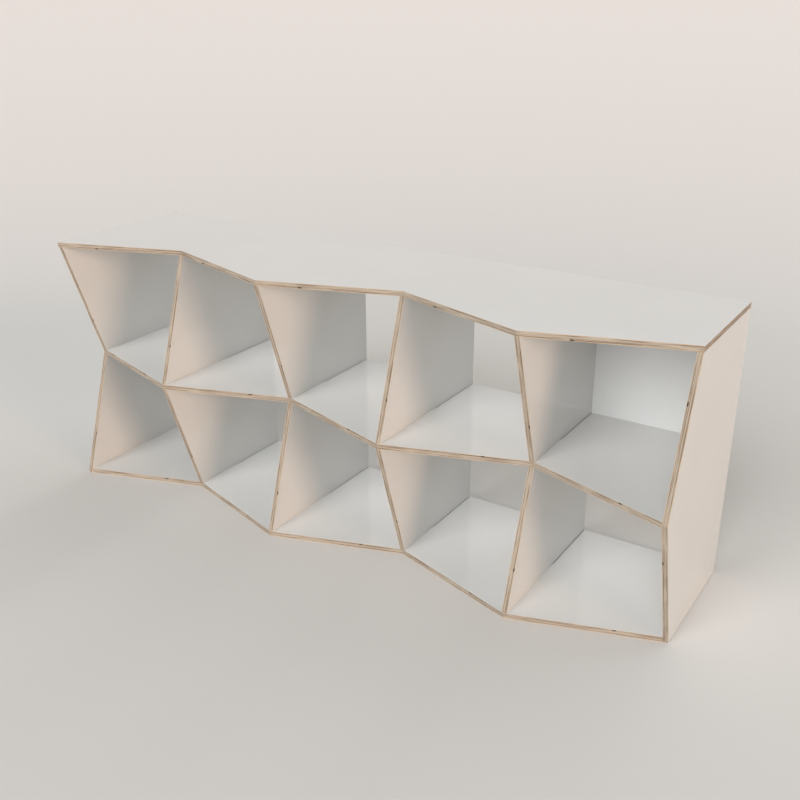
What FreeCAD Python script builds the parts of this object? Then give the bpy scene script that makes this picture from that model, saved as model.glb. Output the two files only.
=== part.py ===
import FreeCAD, Part
import enum
import os
import Sketcher

# Zigzag bookshelf
# Ten cells in two rows, made of birch plywood boards with a white laminate on both faces.
# The front edges run in and out between a proud and a recessed depth, so every cell leans its own way.
# Frame: +X along the shelf, +Y to the back, +Z up, with the origin on the floor under the middle.

COLUMNS = 5
ROWS = 2
UPRIGHTS = range(COLUMNS + 1)
INNER_UPRIGHTS = range(1, COLUMNS)
LEFT_END = 0
RIGHT_END = COLUMNS
BOTTOM_ROW, MIDDLE_ROW, TOP_ROW = range(ROWS + 1)

# Driving sizes in millimetres, each with what it measures
DRIVING_SIZES = (
    ("overall_width", "2000", "over both end panels"),
    ("overall_height", "805", "floor to the upper face of the top panel"),
    ("proud_depth", "520", "back to a front corner that stands proud"),
    ("recessed_depth", "392", "back to a front corner that is set back"),
    ("board_thickness", "15", "plywood with both laminates"),
    ("laminate_thickness", "0.8", "one laminate sheet"),
    ("laminate_trim", "0.5", "laminate of an upright to the floor, so that it doesn't chip there"),
    ("halving_depth", "228", "length of a slot, from the back edge of a shelf"),
    ("slot_clearance", "2", "gap beside an upright in a slot, on each side"),
    ("notch_clearance", "0.2", "gap over the middle shelf in the notch of an upright"),
    ("dowel_diameter", "8", "beech dowel"),
    ("dowel_length", "30", "beech dowel"),
    ("dowel_chamfer", "1", "at both ends of a dowel"),
    ("dowel_bite", "10", "depth of a dowel in the face of a board"),
    ("dowel_clearance", "0.1", "between a dowel and its hole, on each side"),
    ("dowel_end_gap", "1", "beyond the dowel in the edge of a board"),
    ("dowel_margin", "40", "from the outer dowels of a joint to the end of the joint"),
)

# Sizes that follow from the driving ones
DERIVED_SIZES = (
    ("column_pitch", f"=(overall_width - board_thickness) / {COLUMNS}", "from one upright to the next"),
    ("row_pitch", f"=(overall_height - board_thickness) / {ROWS}", "from one shelf to the next"),
    ("core_thickness", "=board_thickness - 2 * laminate_thickness", "plywood alone"),
    ("half_width", "=overall_width / 2", "origin to the outer face of an end panel"),
    ("inner_end", "=half_width - board_thickness", "origin to the inner face of an end panel"),
    ("back_plane", "=proud_depth / 2", "y of all back edges"),
    ("proud_front", "=back_plane - proud_depth", "y of a proud front corner"),
    ("recessed_front", "=back_plane - recessed_depth", "y of a recessed front corner"),
    ("halving_plane", "=back_plane - halving_depth", "y where slots and notches meet"),
    ("half_slot", "=board_thickness / 2 + slot_clearance", "middle of an upright to the side of its slot"),
    ("top_underside", "=overall_height - board_thickness", "z of the lower face of the top panel"),
    ("hole_radius", "=dowel_diameter / 2 + dowel_clearance", "dowel hole"),
    ("dowel_tail", "=dowel_length - dowel_bite", "length of a dowel in the edge of a board"),
)

doc = FreeCAD.newDocument("zigzag_bookshelf")
sheet = doc.addObject("Spreadsheet::Sheet", "Sizes")
for row, (alias, text, meaning) in enumerate(DRIVING_SIZES + DERIVED_SIZES, start=1):
    sheet.set(f"A{row}", meaning)
    sheet.set(f"B{row}", text)
    sheet.setAlias(f"B{row}", alias)
doc.recompute()

sub_parts = []


# Places, written as expressions on the sheet

def upright_middle(upright):
    """X of the middle of an upright, counted from the left end."""
    return f"Sizes.column_pitch * {upright - COLUMNS / 2}"


def upright_face(upright, side):
    """X of the left (-1) or right (1) face of an upright."""
    return f"{upright_middle(upright)} + Sizes.board_thickness * {side / 2}"


def shelf_middle(row):
    """Z of the middle of a horizontal board."""
    return f"Sizes.board_thickness / 2 + Sizes.row_pitch * {row}"


def shelf_face(row, side):
    """Z of the lower (-1) or upper (1) face of a horizontal board."""
    return f"{shelf_middle(row)} + Sizes.board_thickness * {side / 2}"


def front_corner(upright, row):
    """Y of the front corner where an upright meets a horizontal board: proud and recessed by turns."""
    return "Sizes.proud_front" if (upright + row) % 2 == 0 else "Sizes.recessed_front"


def front_between(start, end, distance, pitch):
    """Y of the straight front edge from corner start to corner end, a distance along it."""
    return f"{start} + ({end} - {start}) * ({distance}) / {pitch}"


def upright_front(upright, row, height):
    """Y of the front edge of an upright, a height above the middle of a horizontal board."""
    start = front_corner(upright, row)
    end = front_corner(upright, row + 1)
    return front_between(start, end, height, "Sizes.row_pitch")


# Outlines, as corners in the plane of the board

def top_panel_outline():
    """X and Y of the top panel, which reaches over both end panels."""
    zigzag = [(upright_middle(upright), front_corner(upright, TOP_ROW)) for upright in UPRIGHTS]
    return [
        ("Sizes.half_width", "Sizes.back_plane"),
        ("-Sizes.half_width", "Sizes.back_plane"),
        ("-Sizes.half_width", front_corner(LEFT_END, TOP_ROW)),
        *zigzag,
        ("Sizes.half_width", front_corner(RIGHT_END, TOP_ROW)),
    ]


def slotted_shelf_outline(row):
    """X and Y of a shelf between the end panels, with a slot from the back for each inner upright."""
    half_board = "Sizes.board_thickness / 2"

    def front_at_end(end, neighbour):
        start = front_corner(end, row)
        return front_between(start, front_corner(neighbour, row), half_board, "Sizes.column_pitch")

    corners = [("-Sizes.inner_end", "Sizes.back_plane")]
    corners.append(("-Sizes.inner_end", front_at_end(LEFT_END, LEFT_END + 1)))
    for upright in INNER_UPRIGHTS:
        corners.append((upright_middle(upright), front_corner(upright, row)))
    corners.append(("Sizes.inner_end", front_at_end(RIGHT_END, RIGHT_END - 1)))
    corners.append(("Sizes.inner_end", "Sizes.back_plane"))
    for upright in reversed(INNER_UPRIGHTS):
        right_side = f"{upright_middle(upright)} + Sizes.half_slot"
        left_side = f"{upright_middle(upright)} - Sizes.half_slot"
        corners.append((right_side, "Sizes.back_plane"))
        corners.append((right_side, "Sizes.halving_plane"))
        corners.append((left_side, "Sizes.halving_plane"))
        corners.append((left_side, "Sizes.back_plane"))
    return corners


def end_panel_outline(upright, foot):
    """Y and Z of a layer of an end panel, from its foot to the top panel."""
    below_top = upright_front(upright, MIDDLE_ROW, "Sizes.row_pitch - Sizes.board_thickness / 2")
    return [
        ("Sizes.back_plane", foot),
        ("Sizes.back_plane", "Sizes.top_underside"),
        (below_top, "Sizes.top_underside"),
        (front_corner(upright, MIDDLE_ROW), shelf_middle(MIDDLE_ROW)),
        (front_corner(upright, BOTTOM_ROW), shelf_middle(BOTTOM_ROW)),
        (front_corner(upright, BOTTOM_ROW), foot),
    ]


def inner_upright_outline(upright, foot):
    """Y and Z of a layer of an inner upright, notched from the front for the two slotted shelves."""
    half_board = "Sizes.board_thickness / 2"
    notch_top = f"{half_board} + Sizes.notch_clearance"
    return [
        ("Sizes.back_plane", foot),
        ("Sizes.back_plane", "Sizes.top_underside"),
        (upright_front(upright, MIDDLE_ROW, f"Sizes.row_pitch - {half_board}"), "Sizes.top_underside"),
        (upright_front(upright, MIDDLE_ROW, notch_top), f"{shelf_middle(MIDDLE_ROW)} + {notch_top}"),
        ("Sizes.halving_plane", f"{shelf_middle(MIDDLE_ROW)} + {notch_top}"),
        ("Sizes.halving_plane", shelf_face(MIDDLE_ROW, -1)),
        (upright_front(upright, BOTTOM_ROW, f"Sizes.row_pitch - {half_board}"), shelf_face(MIDDLE_ROW, -1)),
        (upright_front(upright, BOTTOM_ROW, half_board), shelf_face(BOTTOM_ROW, 1)),
        ("Sizes.halving_plane", shelf_face(BOTTOM_ROW, 1)),
        ("Sizes.halving_plane", foot),
    ]


def back_panel_outline(column, row):
    """X and Z of a back panel that fills a cell between its two uprights and its two shelves."""
    left_side = upright_face(column, 1)
    right_side = upright_face(column + 1, -1)
    return [
        (left_side, shelf_face(row, 1)),
        (right_side, shelf_face(row, 1)),
        (right_side, shelf_face(row + 1, -1)),
        (left_side, shelf_face(row + 1, -1)),
    ]


# Features that the boards and dowels are made of

class Point(enum.IntEnum):
    """Points of an edge in a sketch."""
    START = 1
    END = 2
    CENTRE = 3


def new_body(name):
    """Empty body for one sub-part."""
    body = doc.addObject("PartDesign::Body", name)
    body.Label = name
    sub_parts.append(body)
    return body


def new_sketch(body, plane, offset):
    """Sketch on one of the body's own planes, moved along the plane's normal."""
    planes = {feature.Role: feature for feature in body.Origin.OriginFeatures}
    sketch = body.newObject("Sketcher::SketchObject", f"{body.Name}_sketch")
    sketch.AttachmentSupport = (planes[plane], "")
    sketch.MapMode = "FlatFace"
    sketch.setExpression("AttachmentOffset.Base.z", offset)
    return sketch


def bind_point(sketch, edge, point, place):
    """Tie a point of an edge to a pair of expressions, measured from the sketch's origin."""
    for direction, expression in zip(("DistanceX", "DistanceY"), place):
        distance = sheet.evalExpression(expression)
        constraint = Sketcher.Constraint(direction, -1, Point.START, edge, point, distance)
        sketch.setExpression(f"Constraints[{sketch.addConstraint(constraint)}]", expression)


def draw_outline(sketch, corners):
    """Closed outline of straight edges through the corners."""
    spots = [FreeCAD.Vector(sheet.evalExpression(x), sheet.evalExpression(y), 0) for x, y in corners]
    next_spots = spots[1:] + spots[:1]
    sketch.addGeometry([Part.LineSegment(start, end) for start, end in zip(spots, next_spots)])
    for edge in range(len(corners)):
        next_edge = (edge + 1) % len(corners)
        sketch.addConstraint(Sketcher.Constraint("Coincident", edge, Point.END, next_edge, Point.START))
    for edge, corner in enumerate(corners):
        bind_point(sketch, edge, Point.START, corner)


def draw_circles(sketch, centres, radius):
    """Equal circles about the centres."""
    for x, y in centres:
        spot = FreeCAD.Vector(sheet.evalExpression(x), sheet.evalExpression(y), 0)
        up = FreeCAD.Vector(0, 0, 1)
        circle = sketch.addGeometry(Part.Circle(spot, up, sheet.evalExpression(radius)))
        bind_point(sketch, circle, Point.CENTRE, (x, y))
        constraint = Sketcher.Constraint("Radius", circle, sheet.evalExpression(radius))
        sketch.setExpression(f"Constraints[{sketch.addConstraint(constraint)}]", radius)


def pad(body, sketch, length):
    """Solid on the sketch, along its normal."""
    feature = body.newObject("PartDesign::Pad", f"{body.Name}_pad")
    feature.Profile = sketch
    feature.setExpression("Length", length)
    doc.recompute()
    return feature


def drill(body, plane, low, high, centres):
    """Dowel holes between two distances along the plane's normal."""
    sketch = new_sketch(body, plane, low)
    draw_circles(sketch, centres, "Sizes.hole_radius")
    solid_before = body.Tip.Shape.Volume
    feature = body.newObject("PartDesign::Pocket", f"{body.Name}_holes")
    feature.Profile = sketch
    feature.Reversed = True
    feature.setExpression("Length", f"({high}) - ({low})")
    doc.recompute()
    if feature.Shape.Volume >= solid_before:
        raise ValueError(f"{body.Label}: the dowel holes cut nothing")


def make_board(name, plane, start, core_outline, laminate_outline, first_face, last_face):
    """Board of three layers from start along the plane's normal: laminate, plywood core, laminate."""
    layers = {}
    core_start = f"{start} + Sizes.laminate_thickness"
    last_start = f"{core_start} + Sizes.core_thickness"
    for layer, low, thickness, outline in (
        (f"{first_face}_laminate", start, "Sizes.laminate_thickness", laminate_outline),
        ("core", core_start, "Sizes.core_thickness", core_outline),
        (f"{last_face}_laminate", last_start, "Sizes.laminate_thickness", laminate_outline),
    ):
        body = new_body(f"{name}_{layer}")
        sketch = new_sketch(body, plane, low)
        draw_outline(sketch, outline)
        pad(body, sketch, thickness)
        layers[layer] = body
    return layers


def low_and_high(start, end, direction):
    """Ends of a stretch in rising order, where start to end runs in the direction 1 or -1."""
    return (start, end) if direction > 0 else (end, start)


def make_dowels(name, joints):
    """Dowels of one name and their holes: each joint lies on a face of one board and the edge of another."""
    body = new_body(name)
    body.AllowCompound = True
    for joint in joints:
        plane = joint["plane"]
        face = joint["face"]
        inward = joint["into_face"]
        centres = joint["centres"]
        bite_end = f"{face} + Sizes.dowel_bite * {inward}"
        tail_end = f"{face} - Sizes.dowel_tail * {inward}"
        hole_end = f"{face} - (Sizes.dowel_tail + Sizes.dowel_end_gap) * {inward}"
        low, high = low_and_high(tail_end, bite_end, inward)
        sketch = new_sketch(body, plane, low)
        draw_circles(sketch, centres, "Sizes.dowel_diameter / 2")
        pad(body, sketch, f"({high}) - ({low})")
        for layer in joint["face_layers"]:
            drill(layer, plane, *low_and_high(face, bite_end, inward), centres)
        drill(joint["edge_layer"], plane, *low_and_high(hole_end, face, inward), centres)
    plain_dowels = body.Tip
    rims = [f"Edge{number}" for number, edge in enumerate(plain_dowels.Shape.Edges, start=1)
            if isinstance(edge.Curve, Part.Circle)]
    chamfer = body.newObject("PartDesign::Chamfer", f"{name}_chamfer")
    chamfer.Base = (plain_dowels, rims)
    chamfer.setExpression("Size", "Sizes.dowel_chamfer")
    doc.recompute()


# Horizontal boards

def make_shelf(name, row, outline):
    """Horizontal board of a row."""
    return make_board(name, "XY_Plane", shelf_face(row, -1), outline, outline, "lower", "upper")


top_panel = make_shelf("top_panel", TOP_ROW, top_panel_outline())
middle_shelf = make_shelf("middle_shelf", MIDDLE_ROW, slotted_shelf_outline(MIDDLE_ROW))
bottom_panel = make_shelf("bottom_panel", BOTTOM_ROW, slotted_shelf_outline(BOTTOM_ROW))

# Uprights

def make_upright(name, upright, outline, left_face, right_face):
    """Upright board, counted from the left end: its core stands on the floor, its laminates just above."""
    core_outline = outline(upright, "0")
    laminate_outline = outline(upright, "Sizes.laminate_trim")
    start = upright_face(upright, -1)
    return make_board(name, "YZ_Plane", start, core_outline, laminate_outline, left_face, right_face)


uprights = {}
uprights[LEFT_END] = make_upright("left_end_panel", LEFT_END, end_panel_outline, "outer", "inner")
for upright in INNER_UPRIGHTS:
    name = f"inner_upright_{upright}"
    uprights[upright] = make_upright(name, upright, inner_upright_outline, "left", "right")
uprights[RIGHT_END] = make_upright("right_end_panel", RIGHT_END, end_panel_outline, "inner", "outer")

# Back panels, which close the top right and the bottom left cell

def make_back_panel(name, column, row):
    """Back panel of a cell, flush with the back edges; its plane's normal points to the front."""
    outline = back_panel_outline(column, row)
    return make_board(name, "XZ_Plane", "-Sizes.back_plane", outline, outline, "back", "front")


UPPER_BACK_COLUMN = COLUMNS - 1
LOWER_BACK_COLUMN = 0
upper_back_panel = make_back_panel("upper_back_panel", UPPER_BACK_COLUMN, MIDDLE_ROW)
lower_back_panel = make_back_panel("lower_back_panel", LOWER_BACK_COLUMN, BOTTOM_ROW)

# Dowels

DEPTHS_ON_JOINT = (
    "Sizes.back_plane - Sizes.dowel_margin",
    "Sizes.back_plane - Sizes.recessed_depth / 2",
    "Sizes.recessed_front + Sizes.dowel_margin",
)

make_dowels("top_panel_dowels", [
    {
        "plane": "XY_Plane",
        "face": "Sizes.top_underside",
        "into_face": 1,
        "centres": [(upright_middle(upright), depth) for depth in DEPTHS_ON_JOINT],
        "face_layers": [top_panel["lower_laminate"], top_panel["core"]],
        "edge_layer": uprights[upright]["core"],
    }
    for upright in UPRIGHTS
])


def side_joint(upright, side, face_laminate, edge_board, centres):
    """Dowels along X from the left (-1) or right (1) face of an upright into the edge of another board."""
    return {
        "plane": "YZ_Plane",
        "face": upright_face(upright, side),
        "into_face": -side,
        "centres": centres,
        "face_layers": [uprights[upright][face_laminate], uprights[upright]["core"]],
        "edge_layer": edge_board["core"],
    }


SLOTTED_SHELVES = (
    ("middle_shelf", middle_shelf, MIDDLE_ROW),
    ("bottom_panel", bottom_panel, BOTTOM_ROW),
)
for name, board, row in SLOTTED_SHELVES:
    centres = [(depth, shelf_middle(row)) for depth in DEPTHS_ON_JOINT]
    make_dowels(f"{name}_dowels", [
        side_joint(LEFT_END, 1, "inner_laminate", board, centres),
        side_joint(RIGHT_END, -1, "inner_laminate", board, centres),
    ])


def back_panel_dowel_centres(row):
    """Two dowels on each side of a back panel, in the middle of its thickness."""
    depth = "Sizes.back_plane - Sizes.board_thickness / 2"
    return [
        (depth, f"{shelf_face(row, 1)} + Sizes.dowel_margin"),
        (depth, f"{shelf_face(row + 1, -1)} - Sizes.dowel_margin"),
    ]


upper_centres = back_panel_dowel_centres(MIDDLE_ROW)
make_dowels("upper_back_panel_dowels", [
    side_joint(UPPER_BACK_COLUMN, 1, "right_laminate", upper_back_panel, upper_centres),
    side_joint(RIGHT_END, -1, "inner_laminate", upper_back_panel, upper_centres),
])
lower_centres = back_panel_dowel_centres(BOTTOM_ROW)
make_dowels("lower_back_panel_dowels", [
    side_joint(LEFT_END, 1, "inner_laminate", lower_back_panel, lower_centres),
    side_joint(LOWER_BACK_COLUMN + 1, -1, "left_laminate", lower_back_panel, lower_centres),
])

# Every feature has to be sound before any sub-part is written
doc.recompute()
for feature in doc.Objects:
    if "Invalid" in feature.State or "Error" in feature.State:
        raise ValueError(f"{feature.Label} failed: {feature.State}")
for body in sub_parts:
    if body.Shape.isNull() or not body.Shape.isValid():
        raise ValueError(f"{body.Label} has no valid shape")

os.makedirs("parts", exist_ok=True)
for body in sub_parts:
    body.Shape.exportStep(f"parts/{body.Label}.step")
    print(body.Label, len(body.Shape.Solids), "solids", round(body.Shape.Volume), "cubic mm")
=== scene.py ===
import math

import bmesh
import bpy
from mathutils import Matrix, Vector


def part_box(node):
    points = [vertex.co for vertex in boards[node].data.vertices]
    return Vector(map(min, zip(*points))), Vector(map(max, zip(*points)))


# Zigzag bookshelf of white-faced birch plywood, in metres
# The boards come from the frame as they are; here they get their finishes, a floor, light and a camera.

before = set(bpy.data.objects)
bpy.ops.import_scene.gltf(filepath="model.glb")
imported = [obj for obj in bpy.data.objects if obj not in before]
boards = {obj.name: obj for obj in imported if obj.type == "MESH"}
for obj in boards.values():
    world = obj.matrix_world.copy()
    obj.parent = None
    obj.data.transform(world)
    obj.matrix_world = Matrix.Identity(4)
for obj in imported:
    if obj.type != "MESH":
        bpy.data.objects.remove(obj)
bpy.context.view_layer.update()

X, Y, Z = range(3)
AXES = (X, Y, Z)
MM = 0.001


# Sizes read from the boards

def middle(board, axis):
    """Middle of a board's box along an axis."""
    low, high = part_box(board)
    return (low[axis] + high[axis]) / 2


def extent(board, axis):
    """Size of a board's box along an axis."""
    low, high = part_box(board)
    return high[axis] - low[axis]


core_thickness = extent("middle_shelf_core", Z)
column_pitch = middle("inner_upright_2_core", X) - middle("inner_upright_1_core", X)
row_pitch = middle("middle_shelf_core", Z) - middle("bottom_panel_core", Z)
first_upright = middle("left_end_panel_core", X)
first_shelf = middle("bottom_panel_core", Z)


# Finishes, written as arithmetic on sockets

# Sockets of a Mix node for colours, by number because several share a name
MIX_SHARE, MIX_FIRST, MIX_SECOND = 0, 6, 7
MIX_RESULT = 2

# A surface that faces an axis more than this faces it squarely
SQUARELY = 0.7


def linear(red, green, blue):
    """Colour as a screen shows it, 0 to 255, turned into light by the screen's standard curve."""
    def light(level):
        share = level / 255
        return share / 12.92 if share <= 0.04045 else ((share + 0.055) / 1.055) ** 2.4
    return (light(red), light(green), light(blue), 1.0)


def even(waves):
    """Scales of a noise that is the same along every axis, in waves to a metre."""
    return (waves, waves, waves)


def drawn(axis, on_axis, elsewhere):
    """Scales of a noise that differs along one axis from the other two, in waves to a metre."""
    return tuple(on_axis if each == axis else elsewhere for each in AXES)


class Value:
    """Number that varies over a surface; arithmetic on it adds Math nodes to its finish."""

    def __init__(self, finish, socket):
        self.finish = finish
        self.socket = socket

    def maths(self, operation, *numbers):
        """One Math node on the given numbers."""
        return self.finish.node("ShaderNodeMath", {"operation": operation}, dict(enumerate(numbers)))

    def __add__(self, other):
        return self.maths("ADD", self, other)

    def __sub__(self, other):
        return self.maths("SUBTRACT", self, other)

    def __mul__(self, other):
        return self.maths("MULTIPLY", self, other)

    def __truediv__(self, other):
        return self.maths("DIVIDE", self, other)

    def __pow__(self, other):
        return self.maths("POWER", self, other)

    def __radd__(self, other):
        return self.maths("ADD", other, self)

    def __rsub__(self, other):
        return self.maths("SUBTRACT", other, self)

    def __rmul__(self, other):
        return self.maths("MULTIPLY", other, self)

    def __rtruediv__(self, other):
        return self.maths("DIVIDE", other, self)

    def floor(self):
        return self.maths("FLOOR", self)

    def fraction(self):
        return self.maths("FRACT", self)

    def size(self):
        return self.maths("ABSOLUTE", self)

    def above(self, level):
        return self.maths("GREATER_THAN", self, level)

    def larger(self, other):
        return self.maths("MAXIMUM", self, other)


class Finish:
    """Node-based material, or the world's own light."""

    def __init__(self, owner):
        owner.use_nodes = True
        self.owner = owner
        self.tree = owner.node_tree
        self.tree.nodes.clear()

    def node(self, kind, settings=None, sockets=None, output=0):
        """One node: its settings are set first, then the values or links of its sockets."""
        made = self.tree.nodes.new(kind)
        for name, setting in (settings or {}).items():
            if name == "steps":
                self.set_steps(made.color_ramp, setting)
            else:
                setattr(made, name, setting)
        for name, value in (sockets or {}).items():
            if isinstance(value, Value):
                self.tree.links.new(value.socket, made.inputs[name])
            else:
                made.inputs[name].default_value = value
        return Value(self, made.outputs[output]) if made.outputs else made

    @staticmethod
    def set_steps(ramp, shades):
        """Even steps of grey in a ramp, from its start to its end."""
        ramp.interpolation = "CONSTANT"
        while len(ramp.elements) < len(shades):
            ramp.elements.new(1.0)
        for number, (element, shade) in enumerate(zip(ramp.elements, shades)):
            element.position = number / len(shades)
            element.color = (shade, shade, shade, 1.0)

    def part(self, vector, axis):
        """The part of a vector along an axis."""
        return self.node("ShaderNodeSeparateXYZ", sockets={"Vector": vector}, output=axis)

    def place(self):
        """X, Y and Z of a point of the surface."""
        vector = self.node("ShaderNodeTexCoord", output="Object")
        return [self.part(vector, axis) for axis in AXES]

    def facing(self, axis):
        """How squarely the surface faces along an axis, 0 to 1."""
        vector = self.node("ShaderNodeTexCoord", output="Normal")
        return self.part(vector, axis).size()

    def noise(self, scales, detail=2.0, seed=0.0):
        """Soft noise, 0 to 1, with its own scale along each axis."""
        vector = self.node("ShaderNodeTexCoord", output="Object")
        spread = {"Vector": vector, "Location": (seed, seed, seed), "Scale": scales}
        place = self.node("ShaderNodeMapping", sockets=spread)
        sockets = {"Vector": place, "Scale": 1.0, "Detail": detail}
        return self.node("ShaderNodeTexNoise", {"noise_dimensions": "3D"}, sockets)

    def between(self, value, low, high):
        """0 below low, 1 above high, and a smooth rise between them."""
        settings = {"interpolation_type": "SMOOTHSTEP"}
        sockets = {"Value": value, "From Min": low, "From Max": high}
        return self.node("ShaderNodeMapRange", settings, sockets)

    def mix(self, share, first, second):
        """Colour from first, at a share of 0, to second, at 1."""
        sockets = {MIX_SHARE: share, MIX_FIRST: first, MIX_SECOND: second}
        return self.node("ShaderNodeMix", {"data_type": "RGBA"}, sockets, output=MIX_RESULT)

    def bump(self, height, distance, strength):
        """Small relief of the surface."""
        sockets = {"Height": height, "Distance": distance, "Strength": strength}
        return self.node("ShaderNodeBump", sockets=sockets)

    def surface(self, **sockets):
        """Principled surface as the material's result."""
        named = {name.replace("_", " "): value for name, value in sockets.items()}
        shader = self.node("ShaderNodeBsdfPrincipled", sockets=named)
        self.node("ShaderNodeOutputMaterial", sockets={"Surface": shader})
        return self.owner


def new_finish(name):
    """Empty material, ready for its nodes."""
    return Finish(bpy.data.materials.new(name))


# White laminate

LAMINATE_WHITE = linear(219, 216, 212)
LAMINATE_SHADE = linear(216, 213, 209)
KRAFT_EDGE = linear(186, 156, 124)
CLOUD_WAVES = 3.0
SMEAR_WAVES = 14.0
GRIT_WAVES = 900.0
GRIT_DEPTH = 0.02 * MM

# Roughness of the face, and what smears and the paper edge add to it
FACE_ROUGHNESS = 0.05
SMEAR_ROUGHNESS = 0.04
KRAFT_ROUGHNESS = 0.3


def white_laminate(name, face_axis):
    """Smooth white sheet; its brown paper core shows along its narrow edges."""
    finish = new_finish(name)
    cloud = finish.noise(even(CLOUD_WAVES), detail=3.0)
    grit = finish.noise(even(GRIT_WAVES), detail=1.0)
    smear = finish.noise(even(SMEAR_WAVES), detail=4.0, seed=5.0)
    white = finish.mix(finish.between(cloud, low=0.3, high=0.7), LAMINATE_WHITE, LAMINATE_SHADE)
    narrow_edge = 1.0 - finish.facing(face_axis).above(SQUARELY)
    return finish.surface(
        Base_Color=finish.mix(narrow_edge, white, KRAFT_EDGE),
        Roughness=FACE_ROUGHNESS + SMEAR_ROUGHNESS * smear + KRAFT_ROUGHNESS * narrow_edge,
        Normal=finish.bump(grit, GRIT_DEPTH, strength=0.25),
    )


# Birch plywood

# Shade of each ply, from the face away from the knot to the face beside it
PLY_SHADES = (0.10, 0.90, 0.55, 0.15, 0.10, 0.70, 0.35, 1.00, 0.45)
PLIES = len(PLY_SHADES)
PALE_WOOD = linear(182, 166, 148)
DARK_WOOD = linear(105, 85, 66)

# The plies run a little up and down along a board
PLY_WANDER = 0.4 * MM
WANDER_WAVES = 9.0

# A glue line starts this far from the middle of a ply, as a share of the ply
GLUE_LINE = linear(89, 68, 50)
GLUE_FROM = 0.43
GLUE_SHOWN = 0.5

# Waves to a metre through a board's thickness, and along the board
TONE_WAVES = (90.0, 16.0)
VENEER_WAVES = (520.0, 13.0)
FIBRE_WAVES = (2600.0, 60.0)
PORE_WAVES = (900.0, 1500.0)

# How dark the wood is at least, where a ply is faded and where it is full, and what its figure adds
LEAST_DARK = 0.1
FADED_PLY = 0.05
FULL_PLY = 1.05
TONE_DARK = 0.6
FIBRE_DARK = 0.22
PORE_DARK = 0.25

# Relief of the edge, as shares of its depth
RELIEF_DEPTH = 0.15 * MM
PORE_RELIEF = 0.4
FIBRE_RELIEF = 0.2
GLUE_RELIEF = 0.5
KNOT_RELIEF = 4.0

# Roughness of the wood, and what pores and knots add to it
WOOD_ROUGHNESS = 0.48
PORE_ROUGHNESS = 0.12
KNOT_ROUGHNESS = 0.2

# An open knot, a hollow painted near-black as painted shade: how far along its cell, how far from the
# board's middle, its size and its ragged rim
KNOT_HOLE_SHADE = linear(24, 14, 8)
KNOT_SHARE = 0.31
KNOT_HEIGHT = 5.0 * MM
KNOT_HALF_LENGTH = 6.0 * MM
KNOT_HALF_HEIGHT = 1.9 * MM
KNOT_RIM = 0.85
KNOT_RAGGED = 0.4
RAGGED_WAVES = 300.0

# The face that the knots of a board lie beside
LOW_SIDE, HIGH_SIDE = -1.0, 1.0


def birch_ply(name, board, through, along, cells, knot_side, knot_share):
    """Edges of a plywood core: its plies, and an open knot in the front edge of each cell, its hollow
    painted near-black as painted shade.
    """
    finish = new_finish(name)
    place = finish.place()
    wander = PLY_WANDER * (finish.noise(even(WANDER_WAVES), detail=1.0) - 0.5)
    height = knot_side * (place[through] - middle(board, through)) + wander
    share = height / core_thickness + 0.5
    ply = share * PLIES
    glue = (ply.fraction() - 0.5).size().above(GLUE_FROM)

    # A ply that shows its end grain on the long edges shows its long grain on the short ones
    short_edge = finish.facing(along).above(SQUARELY)
    odd_ply = (ply.floor() * 0.5).fraction().above(0.25)
    end_grain = (odd_ply - short_edge).size()

    shade = finish.node("ShaderNodeValToRGB", {"steps": PLY_SHADES}, {"Fac": share})
    tone = finish.noise(drawn(through, *TONE_WAVES), detail=3.0, seed=17.0)
    veneer = finish.noise(drawn(through, *VENEER_WAVES), detail=3.0, seed=3.0)
    fibre = finish.noise(drawn(through, *FIBRE_WAVES), seed=7.0)
    pores = finish.noise(drawn(through, *PORE_WAVES), seed=11.0)
    full = finish.between(veneer, low=0.38, high=0.62)
    dark = LEAST_DARK + shade * (FADED_PLY + FULL_PLY * full) + TONE_DARK * (tone - 0.5)
    dark = dark + FIBRE_DARK * (fibre - 0.5) + PORE_DARK * (pores - 0.5) * end_grain
    wood = finish.mix(dark, PALE_WOOD, DARK_WOOD)
    glued = finish.mix(GLUE_SHOWN * glue, wood, GLUE_LINE)

    first_cell, cell = cells
    cell_share = ((place[along] - first_cell) / cell).fraction()
    knot_along = (cell_share - knot_share) * (cell / KNOT_HALF_LENGTH)
    knot_through = (height - KNOT_HEIGHT) / KNOT_HALF_HEIGHT
    from_knot = (knot_along ** 2.0 + knot_through ** 2.0) ** 0.5
    ragged = KNOT_RAGGED * (finish.noise(even(RAGGED_WAVES)) - 0.5)
    at_front = 1.0 - place[Y].above(0.0)
    # Painted shade: the knot's hollow is coloured near-black over a shallow dip in the bump
    knot = (1.0 - finish.between(from_knot + ragged, low=KNOT_RIM, high=1.0)) * at_front

    raised = PORE_RELIEF * pores * end_grain + FIBRE_RELIEF * fibre
    relief = raised - GLUE_RELIEF * glue - KNOT_RELIEF * knot
    return finish.surface(
        Base_Color=finish.mix(knot, glued, KNOT_HOLE_SHADE),
        Roughness=WOOD_ROUGHNESS + PORE_ROUGHNESS * pores + KNOT_ROUGHNESS * knot,
        Specular_IOR_Level=0.25,
        Normal=finish.bump(relief, RELIEF_DEPTH, strength=0.5),
    )


# Beech dowels

BEECH = linear(214, 178, 142)
BEECH_RAY = linear(176, 132, 98)
BEECH_ROUGHNESS = 0.5
RAY_ROUGHNESS = 0.2
RAY_DEPTH = 0.05 * MM

# Waves to a metre along a rod, and across it
RAY_WAVES = (160.0, 1400.0)


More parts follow.
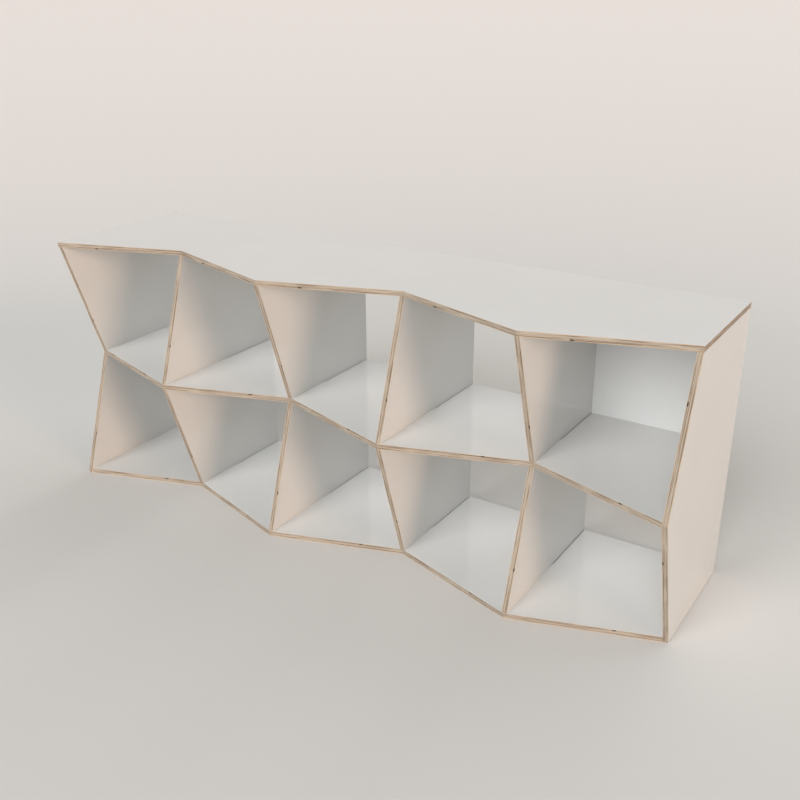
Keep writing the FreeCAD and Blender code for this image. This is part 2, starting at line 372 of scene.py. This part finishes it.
def beech(name, length_axis):
    """Turned beech rod with its short rays drawn along its length."""
    finish = new_finish(name)
    rays = finish.noise(drawn(length_axis, *RAY_WAVES), detail=3.0)
    return finish.surface(
        Base_Color=finish.mix(finish.between(rays, low=0.4, high=0.75), BEECH, BEECH_RAY),
        Roughness=BEECH_ROUGHNESS + RAY_ROUGHNESS * rays,
        Normal=finish.bump(rays, RAY_DEPTH, strength=0.4),
    )


# Boards and dowels get their finishes

def dress(node, material):
    """Give one piece of the frame its finish."""
    boards[node].material_slots[0].material = material


def dress_board(board, faces, laminate, through, along, cells, knot):
    """Give a board its finishes: plywood with its knots for the core, and laminate for the faces."""
    core = f"{board}_core"
    dress(core, birch_ply(f"{board}_birch", core, through, along, cells, *knot))
    for face in faces:
        dress(f"{board}_{face}_laminate", laminate)


shelf_laminate = white_laminate("shelf_laminate", Z)
upright_laminate = white_laminate("upright_laminate", X)
back_laminate = white_laminate("back_panel_laminate", Y)

# First board and pitch of the cells, along the shelf and up it
columns = (first_upright, column_pitch)
rows = (first_shelf, row_pitch)

# Lying boards, with the side and the place of their knots
SHELVES = {
    "top_panel": (LOW_SIDE, KNOT_SHARE),
    "middle_shelf": (HIGH_SIDE, 1.0 - KNOT_SHARE),
    "bottom_panel": (HIGH_SIDE, 1.0 - KNOT_SHARE),
}
for shelf, knot in SHELVES.items():
    dress_board(shelf, ("lower", "upper"), shelf_laminate, Z, X, columns, knot)

# Standing boards, with their faces from left to right
UPRIGHTS = {"left_end_panel": ("outer", "inner"), "right_end_panel": ("inner", "outer")}
UPRIGHTS.update({f"inner_upright_{number}": ("left", "right") for number in range(1, 5)})
for upright, faces in UPRIGHTS.items():
    knot = (LOW_SIDE, 1.0 - KNOT_SHARE) if upright == "right_end_panel" else (HIGH_SIDE, KNOT_SHARE)
    dress_board(upright, faces, upright_laminate, X, Z, rows, knot)

for panel in ("upper_back_panel", "lower_back_panel"):
    dress_board(panel, ("back", "front"), back_laminate, Y, X, columns, (LOW_SIDE, KNOT_SHARE))

dress("top_panel_dowels", beech("upright_beech", Z))
level_beech = beech("level_beech", X)
for board in ("middle_shelf", "bottom_panel", "upper_back_panel", "lower_back_panel"):
    dress(f"{board}_dowels", level_beech)


# Floor and light

FLOOR_RADIUS = 200.0
FLOOR_SIDES = 128
FLOOR_NEAR = linear(216, 211, 206)
FLOOR_MOTTLE = linear(190, 186, 182)
FAR_FLOOR_PAINTED_LIGHT = linear(239, 228, 222)
MOTTLE_WAVES = 2.0
MOTTLE_SHOWN = 0.06

# The floor's painted brightening starts this far from its middle, and it grows paler outwards
PAINTED_LIGHT_FROM = 2.5

BACKDROP = linear(230, 221, 216)
FAINT_LIGHT = (0.89, 0.99, 1.0, 1.0)
FAINT_LEVEL = 0.2


def pale_floor():
    """Wide round floor that grows paler outwards, into the backdrop's colour, as painted light."""
    mesh = bpy.data.meshes.new("floor")
    shape = bmesh.new()
    bmesh.ops.create_circle(shape, cap_ends=True, segments=FLOOR_SIDES, radius=FLOOR_RADIUS)
    shape.to_mesh(mesh)
    shape.free()
    finish = new_finish("pale_floor")
    place = finish.place()
    mottle = finish.noise(even(MOTTLE_WAVES), detail=3.0)
    near = finish.mix(MOTTLE_SHOWN * mottle, FLOOR_NEAR, FLOOR_MOTTLE)
    # Painted light: the floor's colour brightens with distance from its middle
    from_middle = (place[X] ** 2.0 + place[Y] ** 2.0) ** 0.5
    mesh.materials.append(finish.surface(
        Base_Color=finish.mix(1.0 - PAINTED_LIGHT_FROM / from_middle, near, FAR_FLOOR_PAINTED_LIGHT),
        Roughness=0.75,
        Specular_IOR_Level=0.2,
    ))
    floor = bpy.data.objects.new("floor", mesh)
    bpy.context.scene.collection.objects.link(floor)


def studio_world():
    """Faint cool light from all round; the camera and reflections see the pale backdrop instead."""
    world = bpy.data.worlds.new("studio")
    bpy.context.scene.world = world
    finish = Finish(world)
    seen = finish.node("ShaderNodeLightPath", output="Is Camera Ray")
    for rays in ("Is Glossy Ray", "Is Transmission Ray"):
        seen = seen.larger(finish.node("ShaderNodeLightPath", output=rays))
    light = finish.node("ShaderNodeBackground", sockets={"Color": FAINT_LIGHT, "Strength": FAINT_LEVEL})
    shown = finish.node("ShaderNodeBackground", sockets={"Color": BACKDROP, "Strength": 1.0})
    both = finish.node("ShaderNodeMixShader", sockets={0: seen, 1: light, 2: shown})
    finish.node("ShaderNodeOutputWorld", sockets={"Surface": both})


def soft_lamp(name, turn, height, spread, level, colour):
    """Wide lamp far away; reflections show the pale backdrop in its place.

    It is turned from the front towards the right and raised above the floor, in degrees.
    """
    lamp = bpy.data.lights.new(name, "SUN")
    lamp.angle = math.radians(spread)
    lamp.energy = level * math.pi
    lamp.color = colour
    holder = bpy.data.objects.new(name, lamp)
    holder.rotation_euler = (math.radians(90.0 - height), 0.0, math.radians(turn))
    holder.visible_glossy = False
    bpy.context.scene.collection.objects.link(holder)


pale_floor()
studio_world()
soft_lamp("low_front_lamp", turn=0.0, height=15.0, spread=60.0, level=0.765, colour=(0.85, 0.93, 1.0))
soft_lamp("high_front_lamp", turn=0.0, height=37.0, spread=40.0, level=0.455, colour=(0.99, 1.0, 1.0))
soft_lamp("warm_lamp", turn=75.0, height=10.0, spread=22.0, level=0.435, colour=(1.0, 0.73, 0.55))
soft_lamp("right_back_lamp", turn=155.0, height=40.0, spread=60.0, level=0.215, colour=(0.88, 0.96, 1.0))
soft_lamp("left_back_lamp", turn=205.0, height=40.0, spread=60.0, level=0.085, colour=(1.0, 0.82, 0.68))
soft_lamp("low_back_lamp", turn=180.0, height=5.0, spread=10.0, level=0.45, colour=(0.95, 0.98, 1.0))


# Camera at the photograph's viewing angle, its lens and sensor in millimetres

CAMERA_PLACE = Vector((1.5537, -2.2622, 1.5635))
CAMERA_AIM = Vector((0.1052, 0.0, 0.4246))
CAMERA_ROLL = math.radians(-0.150)
CAMERA_LENS = 44.77
CAMERA_SENSOR = 36.0


def photograph_camera():
    """Camera that stands, aims and frames as the photograph's does."""
    lens = bpy.data.cameras.new("camera")
    lens.sensor_width = CAMERA_SENSOR
    lens.lens = CAMERA_LENS
    camera = bpy.data.objects.new("camera", lens)
    turn = (CAMERA_AIM - CAMERA_PLACE).to_track_quat("-Z", "Y").to_matrix()
    rolled = turn @ Matrix.Rotation(CAMERA_ROLL, 3, "Z")
    camera.matrix_world = Matrix.Translation(CAMERA_PLACE) @ rolled.to_4x4()
    bpy.context.scene.collection.objects.link(camera)
    bpy.context.scene.camera = camera


photograph_camera()
bpy.context.scene.view_settings.view_transform = "Standard"
